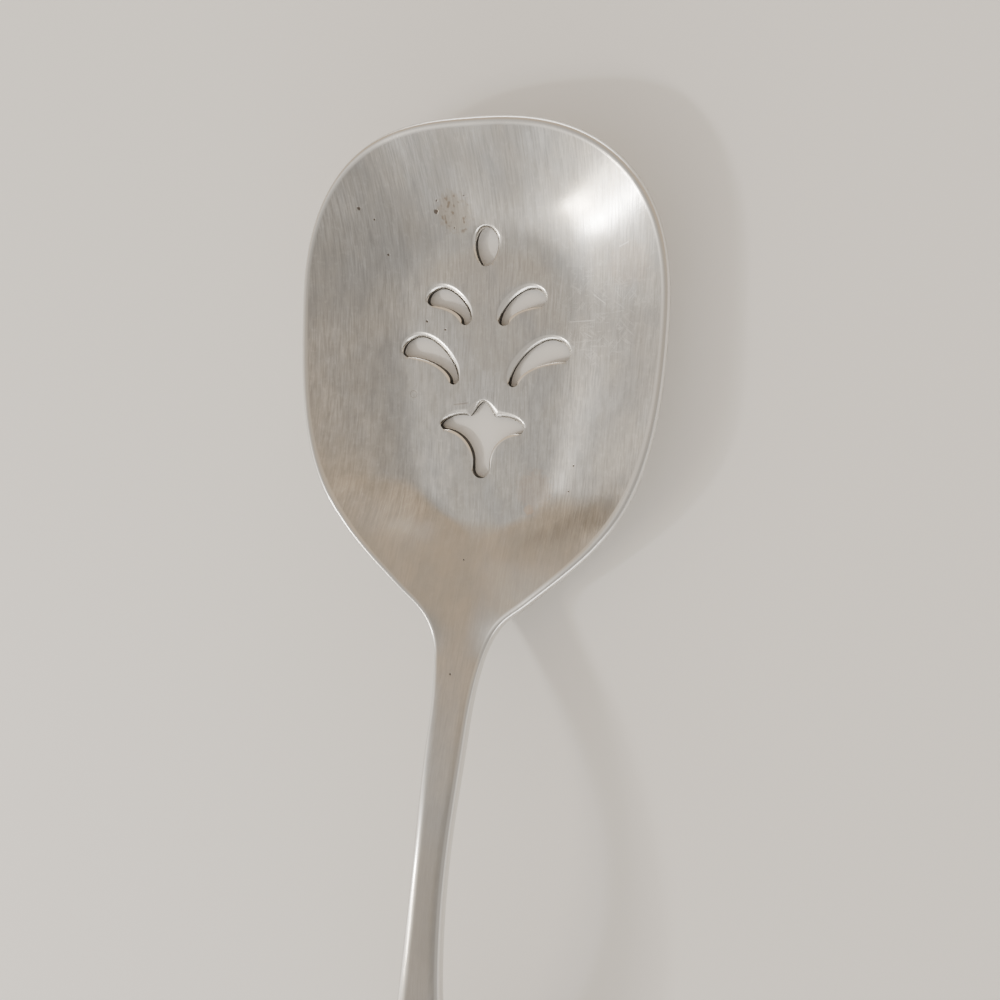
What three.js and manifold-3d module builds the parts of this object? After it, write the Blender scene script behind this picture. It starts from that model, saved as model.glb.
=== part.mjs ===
import * as THREE from 'three';
import { mergeVertices } from 'three/addons/utils/BufferGeometryUtils.js';
import Module from 'manifold-3d';

// A pierced jelly server, pressed from one strip of stainless steel.
// Millimetres, +Z up, bowl tip towards +Y, lying face up as on a table.
// The origin is on the flat underside of the bowl, between the lower leaves of the openwork.

// Blank, in plan
const overallLength = 178;
const tipReach = 30.7; // from the origin to the tip of the bowl
const bowlWidth = 51.2;
const bowlWidestY = 5;
const tipSquareness = 2.66; // exponent of the front curve: 2 is an ellipse
const shoulderWidth = 19.8; // where the shoulder turns from convex to concave
const shoulderY = -30.9;
const shoulderAngle = 46; // degrees from the long axis, at that turn
const neckWidth = 5.8;
const neckY = -49.4;
const waistWidth = 5.1; // narrowest place of the shank
const waistY = -67;
const gripWidth = 14.6; // broadest place of the handle
const gripEndLength = 11; // from that place to the end

// Metal, from the thin bowl to the stout neck
const bowlSheet = 1.3;
const neckThickness = 2.4;
const gripThickness = 1.9;
const rimRadius = 0.5; // rounding of the edge all round
const borderWidth = 1.5; // border of the handle's top face, which falls away to the rim
const borderDrop = 0.45;

// Pressing
const frontDepth = 5.7; // rim above the floor, beside the upper leaves
const backDepth = 7.6; // rim above the floor, at the back corners
const tipRise = 2.4; // how much higher the rim is at the tip
const floorShare = 0.42; // flat part of the way from the middle to the rim
const wallBend = 0.6; // softness of the bend from floor to wall
const floorBackY = -21.3; // where the floor starts to rise to the neck
const taperBefore = 4; // the flat part narrows from this far before that place
const taperAfter = 10; // to nothing, this far behind it
const archHeight = 20.3; // top of the arch above the bowl's floor
const dropLength = 54; // from the top of the arch to the end of the handle
const endSlope = 0.42; // fall of the handle at its end
const wallFadeLength = 10; // the bowl's walls die out this far before and after the shoulder's turn

// How far each curve holds its direction at its start and its end, as shares of its length in Y
const hold = {
  bowl: [0.59, 0.39],
  neck: [0.26, 0.78],
  shank: [0.33, 0.33],
  grip: [0.45, 0.4],
  lift: [0.1, 0.52],
  drop: [0.45, 0.35],
};

// Openwork: a bud over two pairs of leaves over a tulip
const quarterRound = 0.55; // handle of a curve that stands for a quarter of an ellipse
const bud = { top: 19, length: 5.05, width: 3.3, shoulder: 2.1, footHold: 0.45 };
const upperLeaf = {
  rootX: 2.8, rootY: 6.6, rootRadius: 0.68,
  crownX: 6.6, crownY: 11.15,
  endX: 8.82, heelY: 8.8, heelRadius: 0.6,
  backHold: 0.42, crownHold: 0.44, hollowHold: 0.5,
};
const lowerLeaf = {
  rootX: 4.45, rootY: -1.95, rootRadius: 0.58,
  crownX: 9.8, crownY: 4.35,
  endX: 12.5, heelY: 1.5, heelRadius: 0.6,
  backHold: 0.42, crownHold: 0.44, hollowHold: 0.5,
};
const tulip = {
  top: -4.5, notchX: 1.95, notchY: -6.65,
  wingX: 6.5, wingY: -8.15, wingRadius: 0.55,
  stemWidth: 2.5, stemTopY: -12.9, bottom: -15.6,
  apexHold: 0.55, notchHold: 0.47, // millimetres, as the next line is
  wingSwell: 1.45, wingLift: 0.33, wingLean: 0.73, wingRise: 1.26,
  hollowHold: 0.5, stemHold: 0.6, stemFlare: 0.31,
};

// Edges of the openings, worn round where the polishing ran over them towards the tip
const rollFar = 1; // width on the side towards the tip
const rollNear = 0.3; // width on the side towards the handle
const rollSlope = 0.55;
const rollTurn = [-0.25, 0.45]; // where the one gives way to the other, as the outward step's share in Y

// Fineness of the facets
const frontSteps = 14;
const sideSteps = { bowl: 12, neck: 14, shank: 6, grip: 12 };
const endSteps = 7;
const edgeSteps = 3;
const acrossShares = [0, 0.24, 0.42, 0.52, 0.62, 0.72, 0.82, 0.92, 1];
const borderShares = [0.7, 0.4]; // of the border's width, between its inner line and the rim
const pierceSpacing = 0.45; // between the corners of an opening
const rollEase = 2; // corners each way over which an opening's direction and worn width are evened out
const rollClear = 1.3; // the cutter's slanted face ends outside the metal, at this share of its width
const curveSamples = 200;
const slopeStep = 0.05; // millimetres each way, to measure the slope of the top face
const weld = 1e-4; // points closer than this are one corner

const handleEndY = tipReach - overallLength;
const gripY = handleEndY + gripEndLength;
const archY = handleEndY + dropLength;
const frontDepthY = upperLeaf.crownY;
const backDepthY = shoulderY + wallFadeLength;
const wallEndY = shoulderY - wallFadeLength;

// x of a run of points whose y only falls, at one y
function along(points, y) {
  let i = 1;
  while (i < points.length - 1 && points[i].y > y) i += 1;
  const a = points[i - 1];
  const b = points[i];
  return a.x + ((b.x - a.x) * (a.y - y)) / (a.y - b.y);
}

// Curve that leaves one point and reaches the next in given directions
function heldCurve(start, startWay, end, endWay, [startHold, endHold]) {
  const run = start.y - end.y;
  const leaving = start.clone().addScaledVector(startWay, run * startHold);
  const reaching = end.clone().addScaledVector(endWay, -run * endHold);
  return new THREE.CubicBezierCurve(start, leaving, reaching, end);
}

// Right-hand edge of the blank, from the broadest place of the bowl to that of the handle
function sideCurves() {
  const angle = THREE.MathUtils.degToRad(shoulderAngle);
  const slant = new THREE.Vector2(-Math.sin(angle), -Math.cos(angle));
  const bowl = new THREE.Vector2(bowlWidth / 2, bowlWidestY);
  const turn = new THREE.Vector2(shoulderWidth / 2, shoulderY);
  const neck = new THREE.Vector2(neckWidth / 2, neckY);
  const waist = new THREE.Vector2(waistWidth / 2, waistY);
  const grip = new THREE.Vector2(gripWidth / 2, gripY);
  const straight = new THREE.Vector2(0, -1);
  return {
    bowl: heldCurve(bowl, straight, turn, slant, hold.bowl),
    neck: heldCurve(turn, slant, neck, straight, hold.neck),
    shank: heldCurve(neck, straight, waist, straight, hold.shank),
    grip: heldCurve(waist, straight, grip, straight, hold.grip),
  };
}

const sides = sideCurves();
const sidePoints = Object.values(sides).flatMap((curve) => curve.getPoints(curveSamples).slice(1));
sidePoints.unshift(sides.bowl.getPoint(0));

// Top of the metal along the middle line: x is the height, falling y runs from bowl to handle end
function middleLine() {
  const floor = new THREE.Vector2(bowlSheet, floorBackY);
  const crown = new THREE.Vector2(bowlSheet + archHeight, archY);
  const end = new THREE.Vector2(gripThickness, handleEndY);
  const level = new THREE.Vector2(0, -1);
  const falling = new THREE.Vector2(-endSlope, -1);
  const lift = heldCurve(floor, level, crown, level, hold.lift);
  const drop = heldCurve(crown, level, end, falling, hold.drop);
  return [...lift.getPoints(curveSamples), ...drop.getPoints(curveSamples).slice(1)];
}

const middle = middleLine();

function middleHeight(y) {
  return y > floorBackY ? bowlSheet : along(middle, y);
}

// How far the rim stands above the middle line, at a place on the edge of the bowl
function rimLift(y) {
  const { smoothstep } = THREE.MathUtils;
  const depth = THREE.MathUtils.lerp(backDepth, frontDepth, smoothstep(y, backDepthY, frontDepthY));
  const tip = Math.max(0, (y - frontDepthY) / (tipReach - frontDepthY));
  return depth * smoothstep(y, wallEndY, backDepthY) + tipRise * tip ** 3;
}

// Share of the rim's height that the wall has reached, at a share of the way from middle to rim
function wallShare(share, y) {
  const { smoothstep } = THREE.MathUtils;
  const flat = floorShare * smoothstep(y, floorBackY - taperAfter, floorBackY + taperBefore);
  const run = Math.max(0, (share - flat) / (1 - flat));
  return (Math.hypot(1, run / wallBend) - 1) / (Math.hypot(1, 1 / wallBend) - 1);
}

// Height of the pressed top face
function topHeight(x, y) {
  if (y < wallEndY) return middleHeight(y);
  if (y < bowlWidestY) {
    const share = Math.abs(x) / along(sidePoints, y);
    return middleHeight(y) + rimLift(y) * wallShare(share, y);
  }
  const forward = (y - bowlWidestY) / (tipReach - bowlWidestY);
  const aside = Math.abs(x) / (bowlWidth / 2);
  const share = (forward ** tipSquareness + aside ** tipSquareness) ** (1 / tipSquareness);
  const rimY = share > 0 ? bowlWidestY + (y - bowlWidestY) / share : bowlWidestY;
  return bowlSheet + rimLift(rimY) * wallShare(share, y);
}

function topPoint(x, y) {
  return new THREE.Vector3(x, y, topHeight(x, y));
}

function topNormal(x, y) {
  const span = 2 * slopeStep;
  const slopeX = (topHeight(x + slopeStep, y) - topHeight(x - slopeStep, y)) / span;
  const slopeY = (topHeight(x, y + slopeStep) - topHeight(x, y - slopeStep)) / span;
  return new THREE.Vector3(-slopeX, -slopeY, 1).normalize();
}

function thickness(y) {
  const { lerp, smoothstep } = THREE.MathUtils;
  const neck = lerp(neckThickness, bowlSheet, smoothstep(y, neckY, backDepthY));
  return lerp(gripThickness, neck, smoothstep(y, gripY, waistY));
}

function underPoint(x, y) {
  return topPoint(x, y).addScaledVector(topNormal(x, y), -thickness(y));
}

// Places on the right-hand edge, each with the place on the middle line that its section starts from
function edgeStations() {
  const stations = [];
  const power = 2 / tipSquareness;
  for (let i = 0; i < frontSteps; i += 1) {
    const angle = (Math.PI / 2) * (1 - i / frontSteps);
    const x = i === 0 ? 0 : (bowlWidth / 2) * Math.cos(angle) ** power;
    const y = bowlWidestY + (tipReach - bowlWidestY) * Math.sin(angle) ** power;
    stations.push({ x, y, middleY: bowlWidestY });
  }
  stations.push({ x: bowlWidth / 2, y: bowlWidestY, middleY: bowlWidestY });
  for (const [name, curve] of Object.entries(sides)) {
    for (const { x, y } of curve.getPoints(sideSteps[name]).slice(1)) stations.push({ x, y, middleY: y });
  }
  for (let i = 1; i <= endSteps; i += 1) {
    const angle = (Math.PI / 2) * (i / endSteps);
    const x = i === endSteps ? 0 : (gripWidth / 2) * Math.cos(angle);
    stations.push({ x, y: gripY - gripEndLength * Math.sin(angle), middleY: gripY });
  }
  return stations;
}

// Half section at a station: top from the middle out, round the edge, underside back to the middle
function halfSection({ x, y, middleY }) {
  const reach = Math.hypot(x, y - middleY);
  const inside = (inset) => {
    const share = 1 - inset / reach;
    return [x * share, middleY + (y - middleY) * share];
  };
  const insets = acrossShares.map((share) => reach - share * (reach - borderWidth));
  const top = insets.map((inset) => topPoint(...inside(inset)));
  const under = insets.map((inset) => underPoint(...inside(inset)));

  const normal = topNormal(x, y);
  const drop = borderDrop * THREE.MathUtils.smoothstep(-y, -wallEndY, -neckY);
  for (const share of borderShares) {
    const fall = drop * (1 - share) ** 2;
    top.push(topPoint(...inside(share * borderWidth)).addScaledVector(normal, -fall));
  }
  const wall = thickness(y);
  const radius = Math.min(rimRadius, (wall - drop) / 2);
  const upper = topPoint(x, y).addScaledVector(normal, -drop);
  const lower = topPoint(x, y).addScaledVector(normal, -wall);
  const upperIn = top.at(-1).clone().sub(upper).normalize();
  const lowerIn = under.at(-1).clone().sub(lower).normalize();
  const round = (corner, inward, up, angle) =>
    corner
      .clone()
      .addScaledVector(inward, radius * (1 - Math.sin(angle)))
      .addScaledVector(normal, radius * (Math.cos(angle) - up));
  const edge = [];
  for (let i = 0; i <= edgeSteps; i += 1) {
    edge.push(round(upper, upperIn, 1, (Math.PI / 2) * (i / edgeSteps)));
  }
  for (let i = 0; i <= edgeSteps; i += 1) {
    edge.push(round(lower, lowerIn, -1, (Math.PI / 2) * (1 + i / edgeSteps)));
  }
  return [...top, ...edge, ...under.reverse()];
}

// Closed skin over sections that follow one another round the outline
function skinOver(sections) {
  const count = sections[0].length;
  const points = sections.flat();
  const positions = points.flatMap((point) => point.toArray());
  const indices = [];
  sections.forEach((_, i) => {
    const here = i * count;
    const next = ((i + 1) % sections.length) * count;
    for (let k = 0; k < count - 1; k += 1) {
      const [a, b, c, d] = [here + k, here + k + 1, next + k + 1, next + k];
      if (points[a].distanceTo(points[c]) < points[b].distanceTo(points[d])) indices.push(a, c, b, a, d, c);
      else indices.push(a, d, b, b, d, c);
    }
  });
  const geometry = new THREE.BufferGeometry();
  geometry.setAttribute('position', new THREE.Float32BufferAttribute(positions, 3));
  geometry.setIndex(indices);
  return geometry;
}

function blankGeometry() {
  const right = edgeStations().map(halfSection);
  const mirrored = (point) => new THREE.Vector3(-point.x, point.y, point.z);
  const left = right.slice(1, -1).map((section) => section.map(mirrored));
  return skinOver([...right, ...left.reverse()]);
}

// Corners along a path, evenly spaced on each of its curves
function evenPoints(path) {
  const points = [path.curves[0].getPoint(0)];
  for (const curve of path.curves) {
    const steps = Math.max(2, Math.round(curve.getLength() / pierceSpacing));
    points.push(...curve.getSpacedPoints(steps).slice(1));
  }
  return points;
}

// Outline closed by the mirror image of its right-hand half
function mirrorClosed(path) {
  const right = evenPoints(path);
  const left = right.slice(1, -1).map((point) => new THREE.Vector2(-point.x, point.y));
  return new THREE.Shape([...right, ...left.reverse()]);
}

function budShape() {
  const half = bud.width / 2;
  const widest = bud.top - bud.shoulder;
  const bottom = bud.top - bud.length;
  const path = new THREE.Path();
  path.moveTo(0, bud.top);
  const shoulderHold = bud.shoulder * quarterRound;
  path.bezierCurveTo(half * quarterRound, bud.top, half, widest + shoulderHold, half, widest);
  path.bezierCurveTo(half, widest - shoulderHold, half * bud.footHold, bottom, 0, bottom);
  return mirrorClosed(path);
}

// Leaf on the right-hand side: small round root, swelling upper edge, hollow lower edge
function leafShape(leaf) {
  const innerX = leaf.rootX - leaf.rootRadius;
  const outerX = leaf.rootX + leaf.rootRadius;
  const heelX = leaf.endX - leaf.heelRadius;
  const endY = leaf.heelY + leaf.heelRadius;
  const rise = leaf.crownY - leaf.rootY;
  const hollow = leaf.heelY - leaf.rootY;
  const shape = new THREE.Shape();
  shape.moveTo(innerX, leaf.rootY);
  shape.bezierCurveTo(
    innerX, leaf.rootY + rise * leaf.backHold,
    leaf.crownX - (leaf.crownX - innerX) * leaf.crownHold, leaf.crownY,
    leaf.crownX, leaf.crownY,
  );
  shape.bezierCurveTo(
    leaf.crownX + (leaf.endX - leaf.crownX) * quarterRound, leaf.crownY,
    leaf.endX, endY + (leaf.crownY - endY) * quarterRound,
    leaf.endX, endY,
  );
  shape.absarc(heelX, endY, leaf.heelRadius, 0, -Math.PI / 2, true);
  shape.bezierCurveTo(
    heelX - (heelX - outerX) * leaf.hollowHold, leaf.heelY,
    outerX, leaf.rootY + hollow * leaf.hollowHold,
    outerX, leaf.rootY,
  );
  shape.absarc(leaf.rootX, leaf.rootY, leaf.rootRadius, 0, -Math.PI, true);
  return new THREE.Shape(evenPoints(shape));
}

function mirrorShape(shape) {
  return new THREE.Shape(shape.getPoints().map((point) => new THREE.Vector2(-point.x, point.y)).reverse());
}

function tulipShape() {
  const { top, notchX, notchY, wingX, wingY, wingRadius, stemTopY, bottom } = tulip;
  const { apexHold, notchHold, wingSwell, wingLift, wingLean, wingRise } = tulip;
  const stem = tulip.stemWidth / 2;
  const heelX = wingX - wingRadius;
  const heelY = wingY - wingRadius;
  const footY = bottom + stem;
  const path = new THREE.Path();
  path.moveTo(0, top);
  path.bezierCurveTo(apexHold, top, notchX - notchHold, notchY + notchHold, notchX, notchY);
  path.bezierCurveTo(
    notchX + wingSwell, notchY + wingLift,
    wingX - wingLean, wingY + wingRise,
    wingX, wingY,
  );
  path.quadraticCurveTo(wingX, heelY, heelX, heelY);
  path.bezierCurveTo(
    heelX - (heelX - stem) * tulip.hollowHold, heelY,
    stem + tulip.stemFlare, stemTopY + (heelY - stemTopY) * tulip.stemHold,
    stem, stemTopY,
  );
  path.lineTo(stem, footY);
  path.absarc(0, footY, stem, 0, -Math.PI / 2, true);
  return mirrorClosed(path);
}

// Steps out of a clockwise opening into the metal, one for each corner
function outwardSteps(corners) {
  return corners.map((_, i) => {
    const after = corners[(i + rollEase) % corners.length];
    const way = after.clone().sub(corners.at(i - rollEase)).normalize();
    return new THREE.Vector2(-way.y, way.x);
  });
}

// Each value of a closed ring as the mean of its neighbourhood
function evenedOut(values) {
  return values.map((_, i) => {
    let sum = 0;
    for (let k = -rollEase; k <= rollEase; k += 1) sum += values.at((i + k) % values.length);
    return sum / (2 * rollEase + 1);
  });
}

// Punch for one opening: straight through the sheet, with a slanted face for the worn edge
function punchGeometry(shape) {
  const corners = shape.getPoints();
  if (corners.at(-1).distanceTo(corners[0]) < weld) corners.pop();
  const steps = outwardSteps(corners);
  const widths = evenedOut(steps.map((step) =>
    THREE.MathUtils.lerp(rollNear, rollFar, THREE.MathUtils.smoothstep(step.y, ...rollTurn))));
  const bottom = corners.map(({ x, y }) => new THREE.Vector3(x, y, -frontDepth));
  const inner = corners.map(({ x, y }, i) => new THREE.Vector3(x, y, topHeight(x, y) - widths[i] * rollSlope));
  const outer = corners.map((corner, i) => {
    const { x, y } = corner.clone().addScaledVector(steps[i], widths[i] * rollClear);
    return new THREE.Vector3(x, y, topHeight(x, y) + widths[i] * rollSlope * (rollClear - 1));
  });
  const count = corners.length;
  const indices = [];
  for (let ring = 0; ring < 2; ring += 1) {
    for (let i = 0; i < count; i += 1) {
      const [a, b] = [ring * count + i, ring * count + ((i + 1) % count)];
      indices.push(a, b + count, b, a, a + count, b + count);
    }
  }
  for (const [a, b, c] of THREE.ShapeUtils.triangulateShape(corners, [])) {
    indices.push(c, b, a, 2 * count + a, 2 * count + b, 2 * count + c);
  }
  const positions = [...bottom, ...inner, ...outer].flatMap((point) => point.toArray());
  const geometry = new THREE.BufferGeometry();
  geometry.setAttribute('position', new THREE.Float32BufferAttribute(positions, 3));
  geometry.setIndex(indices);
  return geometry;
}

const wasm = await Module();
wasm.setup();

function toSolid(geometry) {
  const bare = geometry.clone();
  bare.deleteAttribute('normal');
  bare.deleteAttribute('uv');
  const merged = mergeVertices(bare, weld);
  const corners = [];
  for (let i = 0; i < merged.index.count; i += 3) {
    const [a, b, c] = [0, 1, 2].map((k) => merged.index.getX(i + k));
    if (a !== b && b !== c && c !== a) corners.push(a, b, c); // the fans' poles leave empty triangles
  }
  return new wasm.Manifold(
    new wasm.Mesh({
      numProp: 3,
      vertProperties: new Float32Array(merged.attributes.position.array),
      triVerts: new Uint32Array(corners),
    }),
  );
}

function toGeometry(solid) {
  const mesh = solid.getMesh();
  const geometry = new THREE.BufferGeometry();
  geometry.setAttribute('position', new THREE.BufferAttribute(mesh.vertProperties, 3));
  geometry.setIndex(new THREE.BufferAttribute(mesh.triVerts, 1));
  geometry.computeVertexNormals();
  return geometry;
}

const leaves = [upperLeaf, lowerLeaf].map(leafShape);
const openings = [budShape(), ...leaves, ...leaves.map(mirrorShape), tulipShape()];
let solid = toSolid(blankGeometry());
for (const opening of openings) solid = solid.subtract(toSolid(punchGeometry(opening)));

const steel = new THREE.MeshStandardMaterial({ color: 0xb8b3a8, roughness: 0.36, metalness: 1 });
const server = new THREE.Mesh(toGeometry(solid), steel);
server.name = 'server';

const jellyServer = new THREE.Group();
jellyServer.add(server);

export default jellyServer;
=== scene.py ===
import math

import bpy
import numpy as np
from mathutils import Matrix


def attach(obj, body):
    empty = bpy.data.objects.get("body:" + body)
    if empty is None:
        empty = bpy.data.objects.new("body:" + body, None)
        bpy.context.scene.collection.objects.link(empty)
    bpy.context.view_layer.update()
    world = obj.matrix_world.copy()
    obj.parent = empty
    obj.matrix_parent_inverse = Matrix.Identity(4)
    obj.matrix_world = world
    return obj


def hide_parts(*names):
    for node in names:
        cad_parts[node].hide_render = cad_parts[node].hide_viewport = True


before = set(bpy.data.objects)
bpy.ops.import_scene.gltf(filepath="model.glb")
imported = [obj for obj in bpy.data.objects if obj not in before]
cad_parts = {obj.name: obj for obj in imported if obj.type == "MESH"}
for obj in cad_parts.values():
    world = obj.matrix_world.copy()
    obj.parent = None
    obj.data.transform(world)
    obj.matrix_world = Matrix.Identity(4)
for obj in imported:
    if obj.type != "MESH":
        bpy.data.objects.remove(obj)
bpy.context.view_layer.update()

# Pierced jelly server, pressed from one strip of stainless steel.
# Metres, bowl tip towards +Y, lying face up as on a table.

bpy.ops.object.select_all(action="DESELECT")
print("frame loaded:", sorted(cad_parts))


# flat blank: the outline before pressing
blank = {
    "overallLength": 0.178,
    "tipReach": 0.0307,          # origin to the tip of the bowl
    "bowlWidth": 0.0512,
    "bowlWidestY": 0.005,
    "tipSquareness": 2.66,       # 2 would be an ellipse
    "shoulderWidth": 0.0198,     # where the shoulder turns from convex to concave
    "shoulderY": -0.0309,
    "shoulderAngle": 46,         # degrees from the long axis, at that turn
    "neckWidth": 0.0058,
    "neckY": -0.0494,
    "waistWidth": 0.0051,
    "waistY": -0.067,
    "gripWidth": 0.0146,
    "gripEndLength": 0.011,
    "bowlHold": (0.59, 0.39),    # how far each curve holds its direction at its ends
    "neckHold": (0.26, 0.78),
    "shankHold": (0.33, 0.33),
    "gripHold": (0.45, 0.4),
    "edgeSpacing": 0.0006,       # between points along the outline
    "slicePitch": 0.0008,        # squares that the sheet is cut into
    "sliceTolerance": 1e-7,
}
handleEndY = blank["tipReach"] - blank["overallLength"]
gripY = handleEndY + blank["gripEndLength"]


# metal: thickness, rounded rim, border of the handle's top face that falls away to the rim
metal = {
    "bowlSheet": 0.0013,
    "neckThickness": 0.0024,
    "gripThickness": 0.0019,
    "rimRadius": 0.0005,
    "borderWidth": 0.0015,
    "borderDrop": 0.00045,
    "borderSteps": 5,
    "stripStart": 0.0017,        # where the sheet's squares end and the rim's strips start
    "roundSteps": 4,
    "borderReach": 1e-5,         # points this near to a border line belong to it
    "weldDistance": 1e-6,
    "smoothAngle": 40,           # degrees, sharper edges stay crisp
}


# pressing: the dish, the ramp to the neck and the arch of the handle
press = {
    "frontDepth": 0.0057,        # rim above the floor, beside the upper leaves
    "frontDepthY": 0.01115,
    "backDepth": 0.0076,         # rim above the floor, at the back corners
    "tipRise": 0.0024,
    "floorShare": 0.42,          # flat part of the way from the middle to the rim
    "wallBend": 0.6,             # softness of the bend from floor to wall
    "backBend": 0.2,             # and behind the floor, where the walls run straighter to the rim
    "wallFadeLength": 0.01,
    "floorBackY": -0.0213,
    "taperBefore": 0.005,        # the flat part narrows from here before the back of the floor
    "taperAfter": 0.006,         # to nothing, this far behind it
    "archHeight": 0.0203,
    "dropLength": 0.054,
    "endSlope": 0.42,
    "liftHold": (0.1, 0.52),
    "dropHold": (0.45, 0.35),
    "slopeStep": 0.00005,
    "leastShare": 1e-9,          # keeps the middle of the bowl off a division by zero
}
backDepthY = blank["shoulderY"] + press["wallFadeLength"]
wallEndY = blank["shoulderY"] - press["wallFadeLength"]


def bezier(start, leaving, reaching, end, count=200):
    t = np.linspace(0, 1, count + 1)[:, None]
    points = [np.asarray(p, float) for p in (start, leaving, reaching, end)]
    weights = [(1 - t) ** 3, 3 * (1 - t) ** 2 * t, 3 * (1 - t) * t ** 2, t ** 3]
    return sum(w * p for w, p in zip(weights, points))


def arc(centre, radius, fromAngle, toAngle, count=40):
    angles = np.linspace(fromAngle, toAngle, count + 1)
    return np.column_stack([centre[0] + radius * np.cos(angles), centre[1] + radius * np.sin(angles)])


# curve that leaves one point and reaches the next in given directions
def heldCurve(start, startWay, end, endWay, holds):
    start, end = np.array(start, float), np.array(end, float)
    run = start[1] - end[1]
    leaving = start + np.array(startWay) * run * holds[0]
    reaching = end - np.array(endWay) * run * holds[1]
    return bezier(start, leaving, reaching, end)


# same line with its points at even steps
def evenly(points, spacing):
    steps = np.hypot(*np.diff(points, axis=0).T)
    run = np.concatenate([[0], np.cumsum(steps)])
    places = np.linspace(0, run[-1], max(2, round(run[-1] / spacing)) + 1)
    return np.column_stack([np.interp(places, run, points[:, k]) for k in (0, 1)])


def chain(pieces, spacing):
    evenPieces = [evenly(piece, spacing) for piece in pieces]
    return np.vstack([evenPieces[0]] + [piece[1:] for piece in evenPieces[1:]])


def mirrorClosed(right):
    return np.vstack([right, (right[1:-1] * (-1, 1))[::-1]])


# unit steps out of a closed loop that runs clockwise
def outward(loop):
    along = np.roll(loop, -1, axis=0) - np.roll(loop, 1, axis=0)
    along /= np.hypot(*along.T)[:, None]
    return np.column_stack([-along[:, 1], along[:, 0]])


def smoothStep(value, low, high):
    t = np.clip((value - low) / (high - low), 0, 1)
    return t * t * (3 - 2 * t)


# right-hand edge from the broadest place of the bowl to that of the handle
def sideLine():
    angle = math.radians(blank["shoulderAngle"])
    slant = (-math.sin(angle), -math.cos(angle))
    straight = (0, -1)
    bowl = (blank["bowlWidth"] / 2, blank["bowlWidestY"])
    turn = (blank["shoulderWidth"] / 2, blank["shoulderY"])
    neck = (blank["neckWidth"] / 2, blank["neckY"])
    waist = (blank["waistWidth"] / 2, blank["waistY"])
    grip = (blank["gripWidth"] / 2, gripY)
    return [
        heldCurve(bowl, straight, turn, slant, blank["bowlHold"]),
        heldCurve(turn, slant, neck, straight, blank["neckHold"]),
        heldCurve(neck, straight, waist, straight, blank["shankHold"]),
        heldCurve(waist, straight, grip, straight, blank["gripHold"]),
    ]


sidePoints = np.vstack(sideLine())


def blankOutline():
    angles = np.linspace(math.pi / 2, 0, 400)
    power = 2 / blank["tipSquareness"]
    frontX = blank["bowlWidth"] / 2 * np.cos(angles).clip(0) ** power
    frontY = blank["bowlWidestY"] + (blank["tipReach"] - blank["bowlWidestY"]) * np.sin(angles) ** power
    around = np.linspace(0, math.pi / 2, 100)
    endX = blank["gripWidth"] / 2 * np.cos(around)
    endY = gripY - blank["gripEndLength"] * np.sin(around)
    front = np.column_stack([frontX, frontY])
    end = np.column_stack([endX, endY])
    right = chain([front, *sideLine(), end], blank["edgeSpacing"])
    right[[0, -1], 0] = 0
    return mirrorClosed(right)


def halfWidth(y):
    return np.interp(-y, -sidePoints[:, 1], sidePoints[:, 0])


# top of the metal along the middle line, as (height, y)
def middleLine():
    floor = (metal["bowlSheet"], press["floorBackY"])
    crown = (metal["bowlSheet"] + press["archHeight"], handleEndY + press["dropLength"])
    end = (metal["gripThickness"], handleEndY)
    lift = heldCurve(floor, (0, -1), crown, (0, -1), press["liftHold"])
    drop = heldCurve(crown, (0, -1), end, (-press["endSlope"], -1), press["dropHold"])
    return np.vstack([lift, drop[1:]])


middle = middleLine()


def middleHeight(y):
    return np.interp(-y, -middle[:, 1], middle[:, 0])


def rimLift(y):
    depth = press["backDepth"] + (press["frontDepth"] - press["backDepth"]) * smoothStep(
        y, backDepthY, press["frontDepthY"])
    tip = np.maximum(0, (y - press["frontDepthY"]) / (blank["tipReach"] - press["frontDepthY"]))
    return depth * smoothStep(y, wallEndY, backDepthY) + press["tipRise"] * tip ** 3


def wallShare(share, y):
    narrowest = press["floorBackY"] - press["taperAfter"]
    inBowl = smoothStep(y, narrowest, press["floorBackY"] + press["taperBefore"])
    flat = press["floorShare"] * inBowl
    bend = press["backBend"] + (press["wallBend"] - press["backBend"]) * inBowl
    run = np.maximum(0, (share - flat) / (1 - flat))
    return (np.hypot(1, run / bend) - 1) / (np.hypot(1, 1 / bend) - 1)


def topHeight(x, y):
    power = blank["tipSquareness"]
    forward = np.maximum(0, (y - blank["bowlWidestY"]) / (blank["tipReach"] - blank["bowlWidestY"]))
    aside = np.abs(x) / (blank["bowlWidth"] / 2)
    share = np.maximum((forward ** power + aside ** power) ** (1 / power), press["leastShare"])
    rimY = blank["bowlWidestY"] + (y - blank["bowlWidestY"]) / share
    front = metal["bowlSheet"] + rimLift(rimY) * wallShare(share, y)
    back = middleHeight(y) + rimLift(y) * wallShare(np.abs(x) / halfWidth(y), y)
    return np.where(y < blank["bowlWidestY"], back, front)


def thickness(y):
    neck = metal["neckThickness"] + (metal["bowlSheet"] - metal["neckThickness"]) * smoothStep(
        y, blank["neckY"], backDepthY)
    return metal["gripThickness"] + (neck - metal["gripThickness"]) * smoothStep(y, gripY, blank["waistY"])


# flat places (x, y, height over the flat top) carried onto the pressed form
def pressed(flat):
    x, y, up = flat.T
    step = press["slopeStep"]
    slopeX = (topHeight(x + step, y) - topHeight(x - step, y)) / (2 * step)
    slopeY = (topHeight(x, y + step) - topHeight(x, y - step)) / (2 * step)
    normal = np.column_stack([-slopeX, -slopeY, np.ones_like(x)])
    normal /= np.linalg.norm(normal, axis=1)[:, None]
    return np.column_stack([x, y, topHeight(x, y)]) + normal * up[:, None]


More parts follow.
